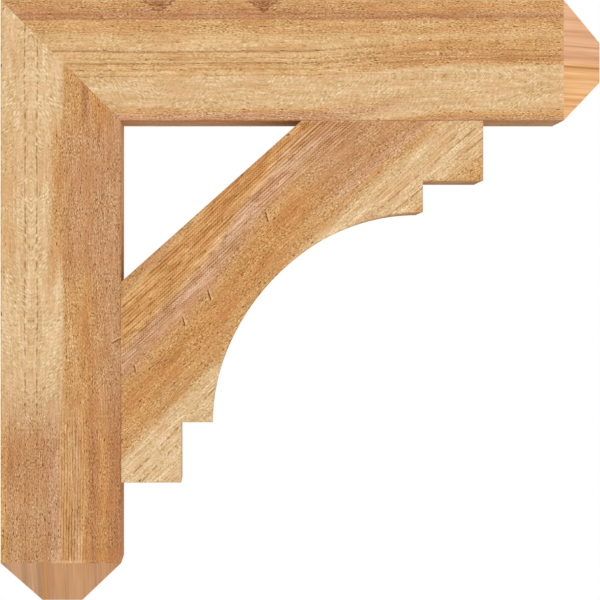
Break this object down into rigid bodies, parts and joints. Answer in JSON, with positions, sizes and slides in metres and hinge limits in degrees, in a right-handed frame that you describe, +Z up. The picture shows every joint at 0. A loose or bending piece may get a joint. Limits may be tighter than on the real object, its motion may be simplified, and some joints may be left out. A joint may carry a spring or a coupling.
{
  "type": "timber corbel bracket",
  "caption": "Rough-sawn timber wall bracket: mitred post and arm with blunt pointed ends and a curved, stepped knee brace, fixed under an eave, beam or shelf.",
  "frame": {"origin": "middle of the post's wall face, half way across the bracket's thickness", "axes": "+X out from the wall along the arm, +Y across the thickness, +Z up"},
  "size_m": [0.6985, 0.1396, 0.6985],
  "materials": {
    "post_cedar": "rough-sawn, unfinished, pale and orange-brown bands along the post",
    "arm_cedar": "rough-sawn, unfinished, golden and pale tan bands along the arm",
    "brace_cedar": "rough-sawn, unfinished, orange-brown heartwood with slanting grain and pale corners"
  },
  "bodies": {
    "root": {"post": "post_cedar", "arm": "arm_cedar", "brace": "brace_cedar"}
  },
  "joints": []
}
